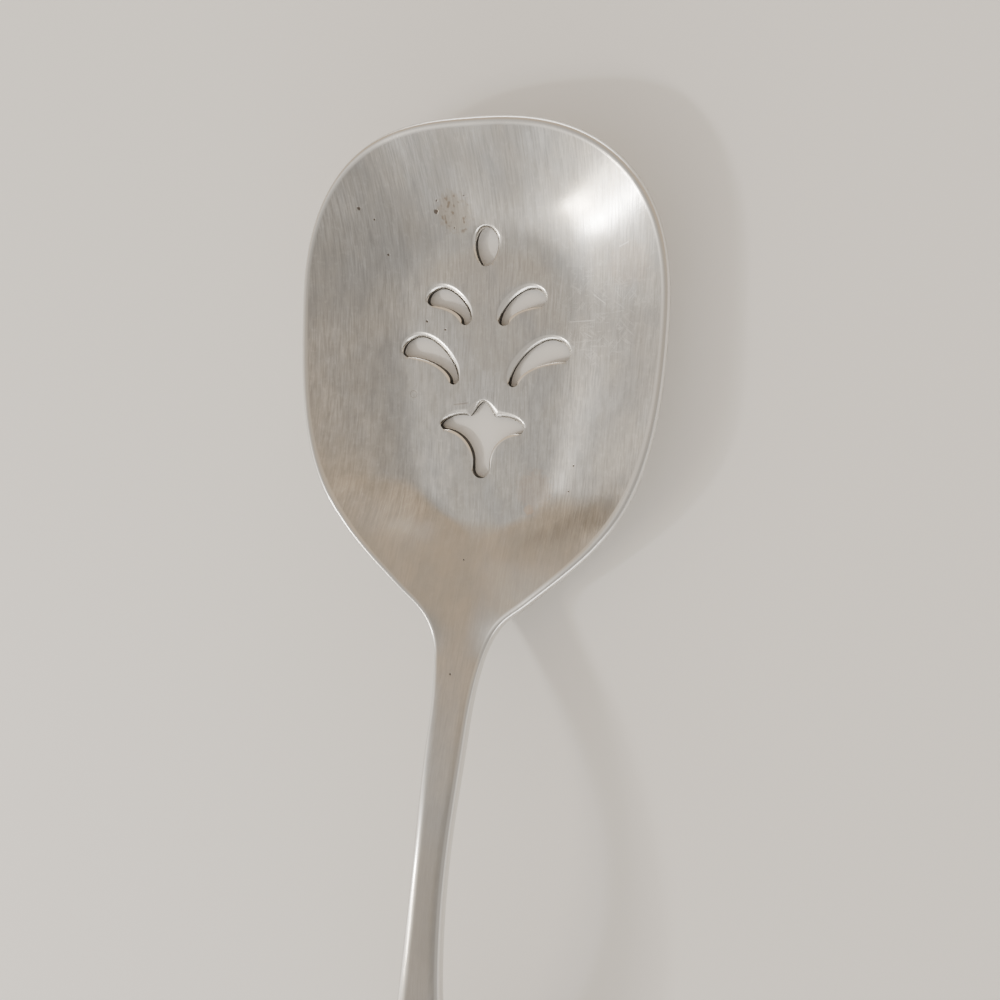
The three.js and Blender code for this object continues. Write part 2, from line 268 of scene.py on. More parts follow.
# openwork: a bud over two pairs of leaves over a tulip
openwork = {
    "bud": {"top": 0.019, "length": 0.00505, "width": 0.0033, "shoulder": 0.0021, "footHold": 0.45},
    "upperLeaf": {
        "root": (0.0028, 0.0066), "rootRadius": 0.00068, "crown": (0.0066, 0.01115),
        "endX": 0.00882, "heelY": 0.0088, "heelRadius": 0.0006,
    },
    "lowerLeaf": {
        "root": (0.00445, -0.00195), "rootRadius": 0.00058, "crown": (0.0098, 0.00435),
        "endX": 0.0125, "heelY": 0.0015, "heelRadius": 0.0006,
    },
    "tulip": {
        "top": -0.0045, "notch": (0.00195, -0.00665), "wing": (0.0065, -0.00815), "wingRadius": 0.00055,
        "stemWidth": 0.0025, "stemTopY": -0.0129, "bottom": -0.0156,
        "apexHold": 0.00055, "notchHold": 0.00047, "wingSwell": 0.00145, "wingLift": 0.00033,
        "wingLean": 0.00073, "wingRise": 0.00126, "hollowHold": 0.5, "stemHold": 0.6, "stemFlare": 0.00031,
    },
    "leafHold": (0.42, 0.44, 0.5),   # back, crown and hollow of a leaf
    "quarterRound": 0.55,
    "spacing": 0.0002,               # between points along a cut
    "rollFar": 0.001,                # edge worn round by polishing, on the side towards the tip
    "rollNear": 0.0003,              # and on the side towards the handle
    "rollTurn": (-0.25, 0.45),       # outward step's share in Y where one gives way to the other
    "rollSlope": 0.55,
    "rollCurve": 1.8,                # 1 is a chamfer, 2 a round edge
    "rollSteps": 7,
    "cornerEase": 3,                 # how often the shoulder's outer line is evened out
}


def budLoop():
    bud = openwork["bud"]
    half = bud["width"] / 2
    widest = bud["top"] - bud["shoulder"]
    bottom = bud["top"] - bud["length"]
    quarter = openwork["quarterRound"]
    hold = bud["shoulder"] * quarter
    upper = bezier((0, bud["top"]), (half * quarter, bud["top"]), (half, widest + hold), (half, widest))
    lower = bezier((half, widest), (half, widest - hold), (half * bud["footHold"], bottom), (0, bottom))
    return mirrorClosed(chain([upper, lower], openwork["spacing"]))


# leaf on the right: small round root, swelling upper edge, hollow lower edge
def leafLoop(leaf):
    back, crownHold, hollow = openwork["leafHold"]
    quarter = openwork["quarterRound"]
    (rootX, rootY), (crownX, crownY) = leaf["root"], leaf["crown"]
    inner, outer = rootX - leaf["rootRadius"], rootX + leaf["rootRadius"]
    endX, heelY, heelRadius = leaf["endX"], leaf["heelY"], leaf["heelRadius"]
    heelX, endY = endX - heelRadius, heelY + heelRadius
    pieces = [
        bezier((inner, rootY), (inner, rootY + (crownY - rootY) * back),
               (crownX - (crownX - inner) * crownHold, crownY), (crownX, crownY)),
        bezier((crownX, crownY), (crownX + (endX - crownX) * quarter, crownY),
               (endX, endY + (crownY - endY) * quarter), (endX, endY)),
        arc((heelX, endY), heelRadius, 0, -math.pi / 2),
        bezier((heelX, heelY), (heelX - (heelX - outer) * hollow, heelY),
               (outer, rootY + (heelY - rootY) * hollow), (outer, rootY)),
        arc((rootX, rootY), leaf["rootRadius"], 0, -math.pi),
    ]
    return chain(pieces, openwork["spacing"])[:-1]


def tulipLoop():
    tulip = openwork["tulip"]
    (notchX, notchY), (wingX, wingY) = tulip["notch"], tulip["wing"]
    top, stemTopY, bottom = tulip["top"], tulip["stemTopY"], tulip["bottom"]
    stem = tulip["stemWidth"] / 2
    heelX, heelY = wingX - tulip["wingRadius"], wingY - tulip["wingRadius"]
    petalHold = tulip["notchHold"]
    pieces = [
        bezier((0, top), (tulip["apexHold"], top),
               (notchX - petalHold, notchY + petalHold), (notchX, notchY)),
        bezier((notchX, notchY), (notchX + tulip["wingSwell"], notchY + tulip["wingLift"]),
               (wingX - tulip["wingLean"], wingY + tulip["wingRise"]), (wingX, wingY)),
        bezier((wingX, wingY), (wingX, (wingY + 2 * heelY) / 3),
               ((wingX * 2 + heelX) / 3, heelY), (heelX, heelY)),
        bezier((heelX, heelY), (heelX - (heelX - stem) * tulip["hollowHold"], heelY),
               (stem + tulip["stemFlare"], stemTopY + (heelY - stemTopY) * tulip["stemHold"]),
               (stem, stemTopY)),
        np.array([(stem, stemTopY), (stem, bottom + stem)]),
        arc((0, bottom + stem), stem, 0, -math.pi / 2),
    ]
    right = chain(pieces, openwork["spacing"])
    right[[0, -1], 0] = 0
    return mirrorClosed(right)


def cutLoops():
    leaves = [leafLoop(openwork["upperLeaf"]), leafLoop(openwork["lowerLeaf"])]
    mirrored = [(leaf * (-1, 1))[::-1] for leaf in leaves]
    return [budLoop(), *leaves, *mirrored, tulipLoop()]


def eased(loop, times, span=3):
    for _ in range(times):
        around = [np.roll(loop, k, axis=0) for k in range(-span, span + 1)]
        loop = sum(around) / len(around)
    return loop


# rings of a cut, from the outside of its worn edge over the corner and through to the underside
def cutRings(loop):
    soft = eased(loop, openwork["cornerEase"])
    steps = outward(soft)
    turn = smoothStep(steps[:, 1], *openwork["rollTurn"])
    near, far = openwork["rollNear"], openwork["rollFar"]
    width = eased((near + (far - near) * turn)[:, None], openwork["cornerEase"])
    outer = eased(soft + steps * width, openwork["cornerEase"])
    rings = []
    for share in np.linspace(0, 1, openwork["rollSteps"] + 1):
        drop = width * openwork["rollSlope"] * share ** openwork["rollCurve"]
        rings.append(np.column_stack([outer + (loop - outer) * share, -drop]))
    rings.append(np.column_stack([loop, -thickness(loop[:, 1])]))
    rings.append(np.column_stack([outer, -thickness(outer[:, 1])]))
    return rings


# rings of the rim, from the sheet's border down the fall and round the edge to the underside
def rimRings(outline):
    out = outward(outline)
    wall = thickness(outline[:, 1])
    drop = metal["borderDrop"] * smoothStep(-outline[:, 1], -wallEndY, -blank["neckY"])
    radius = metal["rimRadius"]
    width = metal["borderWidth"]

    def ring(inset, down):
        return np.column_stack([outline - out * inset, -down * np.ones(len(outline))])

    def fall(inset):
        return drop * max(0, 1 - inset / width) ** 2

    insets = [metal["stripStart"], *np.linspace(width, radius, metal["borderSteps"], endpoint=False)]
    rings = [ring(inset, fall(inset)) for inset in insets]
    quarter = np.linspace(0, math.pi / 2, metal["roundSteps"] + 1)
    for angle in quarter:
        inset = radius * (1 - math.sin(angle))
        rings.append(ring(inset, fall(inset) + radius * (1 - math.cos(angle))))
    for angle in quarter[::-1]:
        inset = radius * (1 - math.sin(angle))
        rings.append(ring(inset, wall - radius * (1 - math.cos(angle))))
    back = outline - out * metal["stripStart"]
    rings.append(np.column_stack([back, -thickness(back[:, 1])]))
    return rings


# closed line of points, drawn as a circle whose points are then moved
def drawLoop(points):
    bpy.ops.mesh.primitive_circle_add(vertices=len(points), radius=blank["bowlWidth"], fill_type="NOTHING")
    loop = bpy.context.object
    loop.data.vertices.foreach_set("co", np.column_stack([points, np.zeros(len(points))]).ravel())
    return loop


def joinPieces(pieces):
    bpy.ops.object.select_all(action="DESELECT")
    for piece in pieces:
        piece.select_set(True)
    bpy.context.view_layer.objects.active = pieces[0]
    bpy.ops.object.join()
    return bpy.context.object


# straight cuts across the sheet: axis 0 for cuts along it, 1 for cuts across
def sliceSheet(places, axis):
    normal = np.eye(3)[axis]
    for place in places:
        bpy.ops.mesh.select_all(action="SELECT")
        bpy.ops.mesh.bisect(plane_co=normal * place, plane_no=normal, threshold=blank["sliceTolerance"])


# flat sheet between the shoulders of the cuts and the border of the rim, cut into squares
def flatSheet(border, shoulders):
    sheet = joinPieces([drawLoop(loop) for loop in (border, *shoulders)])
    sheet.name = "server_steel"
    bpy.ops.object.mode_set(mode="EDIT")
    bpy.ops.mesh.select_mode(type="EDGE")
    bpy.ops.mesh.select_all(action="SELECT")
    bpy.ops.mesh.fill(use_beauty=False)
    bpy.ops.mesh.select_all(action="DESELECT")
    bpy.ops.mesh.select_non_manifold(extend=False, use_wire=False, use_boundary=True,
                                     use_multi_face=False, use_non_contiguous=False, use_verts=False)
    bpy.ops.mesh.select_all(action="INVERT")
    bpy.ops.mesh.dissolve_edges(use_verts=False)
    pitch = blank["slicePitch"]
    half = math.floor(blank["bowlWidth"] / 2 / pitch)
    sliceSheet((np.arange(-half, half) + 0.5) * pitch, 0)
    sliceSheet(np.arange(handleEndY + pitch / 2, blank["tipReach"], pitch), 1)
    bpy.ops.object.mode_set(mode="OBJECT")
    return sheet


def vertexPlaces(mesh):
    places = np.zeros(len(mesh.vertices) * 3)
    mesh.vertices.foreach_get("co", places)
    return places.reshape(-1, 3)


def moveVertices(mesh, places):
    mesh.vertices.foreach_set("co", places.ravel())
    mesh.update()


# nearest stretch of the loops for each point: distance, loop, first point of the stretch, share along it
def onLoops(points, loops):
    best = [np.full(len(points), np.inf)] + [np.zeros(len(points)) for _ in range(3)]
    for number, loop in enumerate(loops):
        start = loop[:, :2]
        step = np.roll(start, -1, axis=0) - start
        ahead = points[:, None, :] - start[None]
        share = (ahead * step[None]).sum(2) / (step ** 2).sum(1)[None]
        share = share.clip(0, 1)
        gap = np.linalg.norm(ahead - share[..., None] * step[None], axis=2)
        nearest = gap.argmin(1)
        rows = np.arange(len(points))
        closer = gap[rows, nearest] < best[0]
        for slot, value in enumerate((gap[rows, nearest], number, nearest, share[rows, nearest])):
            best[slot] = np.where(closer, value, best[slot])
    return best


# strips grown from the sheet's border lines, ring by ring; each ring's points remember a value
def growRings(sheet, ringSets, label, values):
    mesh = sheet.data
    bpy.context.view_layer.objects.active = sheet
    first = [rings[0] for rings in ringSets]
    places = vertexPlaces(mesh)
    gap = onLoops(places[:, :2], first)[0]
    ends = np.zeros(len(mesh.edges) * 2, int)
    mesh.edges.foreach_get("vertices", ends)
    users = np.zeros(len(mesh.loops), int)
    mesh.loops.foreach_get("edge_index", users)
    oneFace = np.bincount(users, minlength=len(mesh.edges)) == 1
    atBorder = oneFace & (gap[ends.reshape(-1, 2)] < metal["borderReach"]).all(1)
    for kind in (mesh.vertices, mesh.polygons):
        kind.foreach_set("select", np.zeros(len(kind), bool))
    mesh.edges.foreach_set("select", atBorder)
    for number in range(1, len(ringSets[0])):
        bpy.ops.object.mode_set(mode="EDIT")
        bpy.ops.mesh.extrude_edges_indiv()
        bpy.ops.object.mode_set(mode="OBJECT")
        picked = np.zeros(len(mesh.vertices), bool)
        mesh.vertices.foreach_get("select", picked)
        places = vertexPlaces(mesh)
        _, which, start, share = onLoops(places[picked][:, :2], [rings[number - 1] for rings in ringSets])
        moved = np.zeros((picked.sum(), 3))
        for row in range(len(moved)):
            ring = ringSets[int(which[row])][number]
            a = int(start[row])
            moved[row] = ring[a] + (ring[(a + 1) % len(ring)] - ring[a]) * share[row]
        places[picked] = moved
        moveVertices(mesh, places)
        kept = np.zeros(len(mesh.vertices), np.float32)
        mesh.attributes[label].data.foreach_get("value", kept)
        kept[picked] = values[number]
        mesh.attributes[label].data.foreach_set("value", kept)


def makeServer():
    outline = blankOutline()
    rim = rimRings(outline)
    cuts = [cutRings(loop) for loop in cutLoops()]
    sheet = flatSheet(rim[0][:, :2], [rings[0][:, :2] for rings in cuts])
    sheet.data.attributes.new("rimShine", "FLOAT", "POINT")
    sheet.data.attributes.new("cutRing", "FLOAT", "POINT")
    print("sheet cut into", len(sheet.data.polygons), "faces")

    bpy.ops.object.select_all(action="DESELECT")
    sheet.select_set(True)
    bpy.context.view_layer.objects.active = sheet
    bpy.ops.object.duplicate()
    under = bpy.context.object
    places = vertexPlaces(under.data)
    places[:, 2] = -thickness(places[:, 1])
    moveVertices(under.data, places)

    bpy.ops.object.select_all(action="DESELECT")
    sheet.select_set(True)
    growRings(sheet, cuts, "cutRing", range(len(cuts[0])))
    shiny = 2 * metal["roundSteps"] + 2
    growRings(sheet, [rim], "rimShine", [0] * (len(rim) - shiny - 1) + [1] * shiny + [0])
    server = joinPieces([sheet, under])
    bpy.ops.object.mode_set(mode="EDIT")
    bpy.ops.mesh.select_all(action="SELECT")
    bpy.ops.mesh.remove_doubles(threshold=metal["weldDistance"])
    bpy.ops.mesh.normals_make_consistent(inside=False)
    bpy.ops.object.mode_set(mode="OBJECT")
    moveVertices(server.data, pressed(vertexPlaces(server.data)))
    bpy.ops.object.shade_smooth_by_angle(angle=math.radians(metal["smoothAngle"]))
    places = vertexPlaces(server.data)
    across = server.data.attributes.new("across", "FLOAT", "POINT")
    across.data.foreach_set("value", (np.abs(places[:, 0]) / halfWidth(places[:, 1])).astype(np.float32))
    print("server pressed:", len(server.data.vertices), "points")
    return server


# faces of the punched walls, between the worn edge's last ring and the underside
def wallFaces(mesh):
    rings = np.zeros(len(mesh.vertices), np.float32)
    mesh.attributes["cutRing"].data.foreach_get("value", rings)
    corners = np.zeros(len(mesh.loops), int)
    mesh.loops.foreach_get("vertex_index", corners)
    starts = np.zeros(len(mesh.polygons), int)
    mesh.polygons.foreach_get("loop_start", starts)
    lowest = np.minimum.reduceat(rings[corners], starts)
    highest = np.maximum.reduceat(rings[corners], starts)
    return (lowest == openwork["rollSteps"]) & (highest == openwork["rollSteps"] + 1)


server = makeServer()
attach(server, "root")
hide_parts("server")


# finish: worn satin steel, brushed along its length
finish = {
    "steel": (0.6, 0.578, 0.54, 1),
    "coolSteel": (0.53, 0.53, 0.525, 1),
    # painted highlight along the rounded rim
    "rimHighlight": (0.72, 0.71, 0.69, 1),
    # rubbed edges of the openings, partly wear and partly a painted highlight
    "rubbedSheenSteel": (0.93, 0.91, 0.87, 1),
    # painted shade: near-black colour for the punched walls
    "wallShade": (0.1, 0.097, 0.093, 1),
    # painted dark reflection laid on the handle's middle, not the steel's own colour
    "paintedReflection": (0.4, 0.36, 0.315, 1),
    "stainOchre": (0.36, 0.25, 0.1, 1),
    "stainBrown": (0.16, 0.095, 0.045, 1),
    "stainOrange": (0.62, 0.44, 0.3, 1),
    "pitBrown": (0.07, 0.055, 0.045, 1),
    "haze": (0.78, 0.77, 0.75, 1),
    "fineGrain": ((4400, 300, 0), 2.0),           # lines per metre across and along, and detail
    "broadGrain": ((1300, 150, 0), 3.0),
    "clouds": ((170, 110, 0), 4.0),
    "patches": ((110, 80, 0), 2.0),
    "mottling": ((1500, 1300, 0), 3.0),
    "blotches": ((620, 480, 0), 4.0),
    "stainSpecks": ((1500, 1200, 0), 1.0),
    "scuffs": ((2600, 420, 0), 1.0),
    "wallLines": ((3000, 3000, 200), 2.0),
    "brushedFade": (-0.026, -0.019, 0.3, 1.0),    # along the length: from, to, strength at each
    "blotchFade": (0.012, -0.006, 0.04, 0.13),
    "fineTone": (0.24, 0.1),                      # in the patches, and everywhere
    "broadTone": 0.13,
    "speckRange": (0.72, 0.95),
    "speckTone": 0.08,
    "streakMiddle": 0.2,                          # average of the lines and blotches
    "brushedTone": 0.96,
    "handleMiddle": (0.85, 0.4),                  # shares of the half width
    "paintedReflectionFade": (-0.047, -0.074),
    "paintedReflectionStrength": 0.65,
    "brownStain": ((-0.0043, 0.021, 0), 0.0032),
    "filmStrength": (0.16, 0.12),                 # in the clouds, and everywhere
    "crustRange": (0.78, 1.0),
    "crustStrength": 0.5,
    "tints": [                                    # places, sizes and strengths of orange tints
        ((0.00752, -0.01947, 0), 0.0009, 0.7),
        ((0.00831, -0.0166, 0), 0.0034, 0.35),
        ((0.0203, 0.014, 0), 0.0034, 0.22),
    ],
    "tintStrength": 0.6,
    "rubbedSheenFrom": (0.0, 2.5),                       # rings of a cut, counted from its outside
    "rubbedSheenTo": (7.6, 7.1),
    "rubbedSheenStrength": 0.9,
    "scratches": [                                # middle, direction, length and width
        ((0.01957, 0.01628, 0), (0.933, 0.359, 0), 0.0016, 0.00012),
        ((0.01404, 0.00693, 0), (0.99, 0.07, 0), 0.0042, 0.0001),
        ((0.0164, 0.00975, 0), (0.826, -0.563, 0), 0.0026, 0.0001),
        ((0.015, 0.00513, 0), (0.9, -0.43, 0), 0.0014, 0.0001),
    ],
    "scratchStrength": 0.8,
    "nicks": ((0.0206, 0.0229, 0), (0.717, -0.697, 0), 0.0064, 0.0008),
    "nickRange": (0.5, 0.8),
    "scuffTurns": (0.6, -0.9, 1.5),               # radians from the long axis
    "scuffPlace": ((0.0168, 0.0078, 0), 0.0082),
    "scuffRange": (0.85, 1.0),
    "scuffStrength": 0.12,
    "pits": [                                     # places and sizes of single dark pits
        ((-0.01743, 0.02147, 0), 0.0003),
        ((-0.0156, 0.02017, 0), 0.00018),
        ((-0.01432, 0.01566, 0), 0.00022),
        ((-0.00875, 0.00658, 0), 0.0002),
        ((-0.00587, 0.00548, 0), 0.00016),
        ((-0.00686, 0.02118, 0), 0.0004),
        ((-0.0065, 0.0225, 0), 0.00018),
        ((-0.0025, 0.023, 0), 0.00015),
        ((-0.0045, 0.0192, 0), 0.00014),
        ((0.01398, -0.01252, 0), 0.00016),
        ((0.01348, -0.0161, 0), 0.00014),
        ((-0.00144, -0.02747, 0), 0.00016),
        ((-0.00057, -0.04247, 0), 0.0002),
    ],
    "pitStrength": 0.9,
    "petalMark": ((-0.0032, -0.00488, 0), (0.987, 0.159, 0), 0.0027, 0.00016),
    "petalStrength": 0.5,
    "ringMark": ((-0.01069, -0.00384, 0), 0.00052, 0.00012),   # place, radius, width
    "ringStrength": 0.42,
    "roughness": 0.14,
    "cloudRough": 0.05,                           # added to the roughness
    "patchRough": 0.06,
    "pitRough": 0.4,
    "rimRough": 0.04,
    "scuffRough": 0.1,
    "wallRoughness": 0.5,
    "wallTone": (0.5, 0.75),                      # depth of the punch's lines, and their darkest
    "grainDepth": 0.0000025,
    "fineRelief": (0.8, 0.2),                     # in the patches, and everywhere
    "broadRelief": 0.4,
    "pitRelief": -8.0,
}


# effects that the materials share
effects = {
    "noiseRoughness": 0.6,
    "noiseRange": (0.3, 0.7),
    "raggedScale": 1800.0,
    "raggedDetail": 3.0,
    "raggedDepth": 0.9,
    "spotRange": (1.0, 0.55),
    "scratchSide": (1.0, 0.3),
    "scratchEnd": (0.5, 0.35),
}


def addNode(tree, kind, inputs, **settings):
    node = tree.nodes.new(kind)
    for name, value in settings.items():
        setattr(node, name, value)
    for name, value in inputs.items():
        if isinstance(value, bpy.types.NodeSocket):
            tree.links.new(value, node.inputs[name])
        else:
            node.inputs[name].default_value = value
    return node


def sums(tree, how, first, second, third=0.0):
    return addNode(tree, "ShaderNodeMath", {0: first, 1: second, 2: third}, operation=how).outputs[0]


def vectors(tree, how, first, second, result="Vector"):
    return addNode(tree, "ShaderNodeVectorMath", {0: first, 1: second}, operation=how).outputs[result]


def ranged(tree, value, low, high, fromValue=0.0, toValue=1.0):
    inputs = {"Value": value, "From Min": low, "From Max": high, "To Min": fromValue, "To Max": toValue}
    return addNode(tree, "ShaderNodeMapRange", inputs, interpolation_type="SMOOTHSTEP").outputs["Result"]


# colour mix: sockets 6 and 7 are the colours
def blended(tree, amount, under, over, how="MIX"):
    node = addNode(tree, "ShaderNodeMix", {0: amount, 6: under, 7: over}, data_type="RGBA", blend_type=how)
    return node.outputs[2]


def newGroup(name, inputs, output):
    group = bpy.data.node_groups.new(name, "ShaderNodeTree")
    for label, kind in inputs.items():
        group.interface.new_socket(label, in_out="INPUT", socket_type="NodeSocket" + kind)
    group.interface.new_socket(output, in_out="OUTPUT", socket_type="NodeSocketFloat")
    start = group.nodes.new("NodeGroupInput")
    end = group.nodes.new("NodeGroupOutput")
    return group, start.outputs, end.inputs


# stretched noise: lines of the brushing, or clouds of wear
def noiseGroup():
    inputs = {"Place": "Vector", "Scale": "Vector", "Detail": "Float"}
    group, given, result = newGroup("stretchedNoise", inputs, "Tone")
    stretched = vectors(group, "MULTIPLY", given["Place"], given["Scale"])
    noise = addNode(group, "ShaderNodeTexNoise", {
        "Vector": stretched, "Scale": 1.0, "Detail": given["Detail"],
        "Roughness": effects["noiseRoughness"]})
    group.links.new(ranged(group, noise.outputs["Fac"], *effects["noiseRange"]), result["Tone"])
    return group


# step from a mark's centre to a place, seen from above
def flatStep(tree, place, centre):
    return vectors(tree, "MULTIPLY", vectors(tree, "SUBTRACT", place, centre), (1, 1, 0))


# round mark with a ragged edge
def spotGroup():
    inputs = {"Place": "Vector", "Centre": "Vector", "Radius": "Float"}
    group, given, result = newGroup("raggedSpot", inputs, "Mask")
    flat = flatStep(group, given["Place"], given["Centre"])
    away = sums(group, "DIVIDE", vectors(group, "LENGTH", flat, (0, 0, 0), "Value"), given["Radius"])
    ragged = addNode(group, "ShaderNodeTexNoise", {
        "Vector": given["Place"], "Scale": effects["raggedScale"], "Detail": effects["raggedDetail"]})
    depth = effects["raggedDepth"]
    inner = sums(group, "SUBTRACT", away, depth / 2)
    edge = sums(group, "MULTIPLY_ADD", ragged.outputs["Fac"], depth, inner)
    group.links.new(ranged(group, edge, *effects["spotRange"]), result["Mask"])
    return group


# short straight line
def scratchGroup():
    inputs = {"Place": "Vector", "Middle": "Vector", "Way": "Vector", "Length": "Float", "Width": "Float"}
    group, given, result = newGroup("scratch", inputs, "Mask")
    flat = flatStep(group, given["Place"], given["Middle"])
    along = sums(group, "ABSOLUTE", vectors(group, "DOT_PRODUCT", flat, given["Way"], "Value"), 0.0)
    crossed = vectors(group, "CROSS_PRODUCT", flat, given["Way"])
    aside = vectors(group, "LENGTH", crossed, (0, 0, 0), "Value")
    nearLine = ranged(group, sums(group, "DIVIDE", aside, given["Width"]), *effects["scratchSide"])
    nearMiddle = ranged(group, sums(group, "DIVIDE", along, given["Length"]), *effects["scratchEnd"])
    group.links.new(sums(group, "MULTIPLY", nearLine, nearMiddle), result["Mask"])
    return group


def useGroup(tree, group, inputs):
    return addNode(tree, "ShaderNodeGroup", inputs, node_tree=group).outputs[0]


noise, spot, scratch = noiseGroup(), spotGroup(), scratchGroup()


def newMaterial(name):
    material = bpy.data.materials.new(name)
    material.use_nodes = True
    tree = material.node_tree
    place = tree.nodes.new("ShaderNodeTexCoord").outputs["Object"]
    return material, tree, tree.nodes["Principled BSDF"], place


def largest(tree, masks):
    total = masks[0]
    for mask in masks[1:]:
        total = sums(tree, "MAXIMUM", total, mask)
    return total


def steelFinish():
    material, tree, shader, place = newMaterial("brushed_steel")

    def lines(scale, detail, turn=0.0):
        turned = place
        if turn:
            turned = addNode(tree, "ShaderNodeVectorRotate", {"Vector": place, "Angle": turn},
                             rotation_type="Z_AXIS").outputs["Vector"]
        return useGroup(tree, noise, {"Place": turned, "Scale": scale, "Detail": detail})

    def mark(centre, radius):
        return useGroup(tree, spot, {"Place": place, "Centre": centre, "Radius": radius})

    def line(middle, way, length, width):
        return useGroup(tree, scratch, {"Place": place, "Middle": middle, "Way": way, "Length": length,
                                        "Width": width})

    def product(first, second):
        return sums(tree, "MULTIPLY", first, second)

    def attribute(name):
        return addNode(tree, "ShaderNodeAttribute", {}, attribute_name=name).outputs["Fac"]

    fine = lines(*finish["fineGrain"])
    broad = lines(*finish["broadGrain"])
    clouds = lines(*finish["clouds"])
    patches = lines(*finish["patches"])
    mottling = lines(*finish["mottling"])
    rim = attribute("rimShine")
    across = attribute("across")
    long = addNode(tree, "ShaderNodeSeparateXYZ", {"Vector": place}).outputs["Y"]

    # colour: cool and warm clouds, lines of the brushing in patches, blotches low in the bowl
    colour = blended(tree, clouds, finish["steel"], finish["coolSteel"])
    inBowl = ranged(tree, long, *finish["brushedFade"])
    brushed = product(fine, sums(tree, "MULTIPLY_ADD", patches, *finish["fineTone"]))
    streaks = sums(tree, "MULTIPLY_ADD", broad, finish["broadTone"], brushed)
    specks = product(ranged(tree, mottling, *finish["speckRange"]), finish["speckTone"])
    blotched = product(lines(*finish["blotches"]), ranged(tree, long, *finish["blotchFade"]))
    streaks = sums(tree, "SUBTRACT", sums(tree, "ADD", streaks, blotched), finish["streakMiddle"])
    streaks = product(sums(tree, "ADD", streaks, specks), inBowl)
    colour = blended(tree, 1.0, colour, sums(tree, "ADD", streaks, finish["brushedTone"]), "MULTIPLY")

    # painted dark reflection: the handle's middle is darkened and browned towards its end, its border is
    # left at the steel's tone
    middle = ranged(tree, across, *finish["handleMiddle"])
    reflectionMask = product(middle, ranged(tree, long, *finish["paintedReflectionFade"]))
    colour = blended(tree, product(reflectionMask, finish["paintedReflectionStrength"]), colour, finish["paintedReflection"])

    # stains
    stain = mark(*finish["brownStain"])
    film = product(product(stain, stain), sums(tree, "MULTIPLY_ADD", clouds, *finish["filmStrength"]))
    colour = blended(tree, film, colour, finish["stainOchre"])
    crust = product(stain, ranged(tree, lines(*finish["stainSpecks"]), *finish["crustRange"]))
    colour = blended(tree, product(crust, finish["crustStrength"]), colour, finish["stainBrown"])
    tints = [product(mark(centre, radius), strength) for centre, radius, strength in finish["tints"]]
    tinted = product(largest(tree, tints), finish["tintStrength"])
    colour = blended(tree, tinted, colour, finish["stainOrange"])
    # painted highlight: the rounded rim is coloured lighter than the steel
    colour = blended(tree, rim, colour, finish["rimHighlight"])

    # edges of the openings: rubbed bright by wear, and painted near white as a highlight
    ring = attribute("cutRing")
    rubbedSheen = product(ranged(tree, ring, *finish["rubbedSheenFrom"]), ranged(tree, ring, *finish["rubbedSheenTo"]))
    colour = blended(tree, product(rubbedSheen, finish["rubbedSheenStrength"]), colour, finish["rubbedSheenSteel"])

    # bright scuffs and scratches
    bright = [line(*values) for values in finish["scratches"]]
    bright.append(product(line(*finish["nicks"]), ranged(tree, mottling, *finish["nickRange"])))
    scuffs = largest(tree, [lines(*finish["scuffs"], turn) for turn in finish["scuffTurns"]])
    scuffed = product(ranged(tree, scuffs, *finish["scuffRange"]), mark(*finish["scuffPlace"]))
    bright.append(product(scuffed, finish["scuffStrength"]))
    scratched = product(largest(tree, bright), finish["scratchStrength"])
    colour = blended(tree, scratched, colour, finish["haze"])

    # pits, residue beside the tulip and a ring left by a drop
    dark = [mark(*values) for values in finish["pits"]]
    dark.append(product(line(*finish["petalMark"]), finish["petalStrength"]))
    centre, radius, width = finish["ringMark"]
    away = vectors(tree, "LENGTH", flatStep(tree, place, centre), (0, 0, 0), "Value")
    offRing = sums(tree, "ABSOLUTE", sums(tree, "SUBTRACT", away, radius), 0.0)
    dark.append(product(ranged(tree, offRing, width, 0.0), finish["ringStrength"]))
    pitted = largest(tree, dark)
    colour = blended(tree, product(pitted, finish["pitStrength"]), colour, finish["pitBrown"])
    tree.links.new(colour, shader.inputs["Base Color"])

    # polish: uneven, and duller in the pits and scuffs
    rough = finish["roughness"]
    masks = {"cloudRough": clouds, "patchRough": patches, "pitRough": pitted, "rimRough": rim,
             "scuffRough": scuffed}
    for name, mask in masks.items():
        rough = sums(tree, "MULTIPLY_ADD", mask, finish[name], rough)
    tree.links.new(rough, shader.inputs["Roughness"])
    shader.inputs["Metallic"].default_value = 1

    # depth of the grain and the pits
    relief = product(fine, sums(tree, "MULTIPLY_ADD", patches, *finish["fineRelief"]))
    relief = sums(tree, "MULTIPLY_ADD", broad, finish["broadRelief"], relief)
    relief = sums(tree, "MULTIPLY_ADD", pitted, finish["pitRelief"], relief)
    bump = addNode(tree, "ShaderNodeBump", {
        "Height": relief, "Strength": 1.0, "Distance": finish["grainDepth"]})
    tree.links.new(bump.outputs["Normal"], shader.inputs["Normal"])
    return material


# punched walls of the openwork: painted dark as shade in the openings, dull, with the lines of the punch
# running down
def shadedWallFinish():
    material, tree, shader, place = newMaterial("punched_wall")
    scale, detail = finish["wallLines"]
    lines = useGroup(tree, noise, {"Place": place, "Scale": scale, "Detail": detail})
    shade = sums(tree, "MULTIPLY_ADD", lines, *finish["wallTone"])
    colour = blended(tree, 1.0, finish["wallShade"], shade, "MULTIPLY")
    tree.links.new(colour, shader.inputs["Base Color"])
    shader.inputs["Metallic"].default_value = 1
    shader.inputs["Roughness"].default_value = finish["wallRoughness"]
    return material


server.data.materials.clear()
server.data.materials.append(steelFinish())
server.data.materials.append(shadedWallFinish())
server.data.polygons.foreach_set("material_index", wallFaces(server.data).astype(np.int32))
server.data.update()
print("finish laid on")


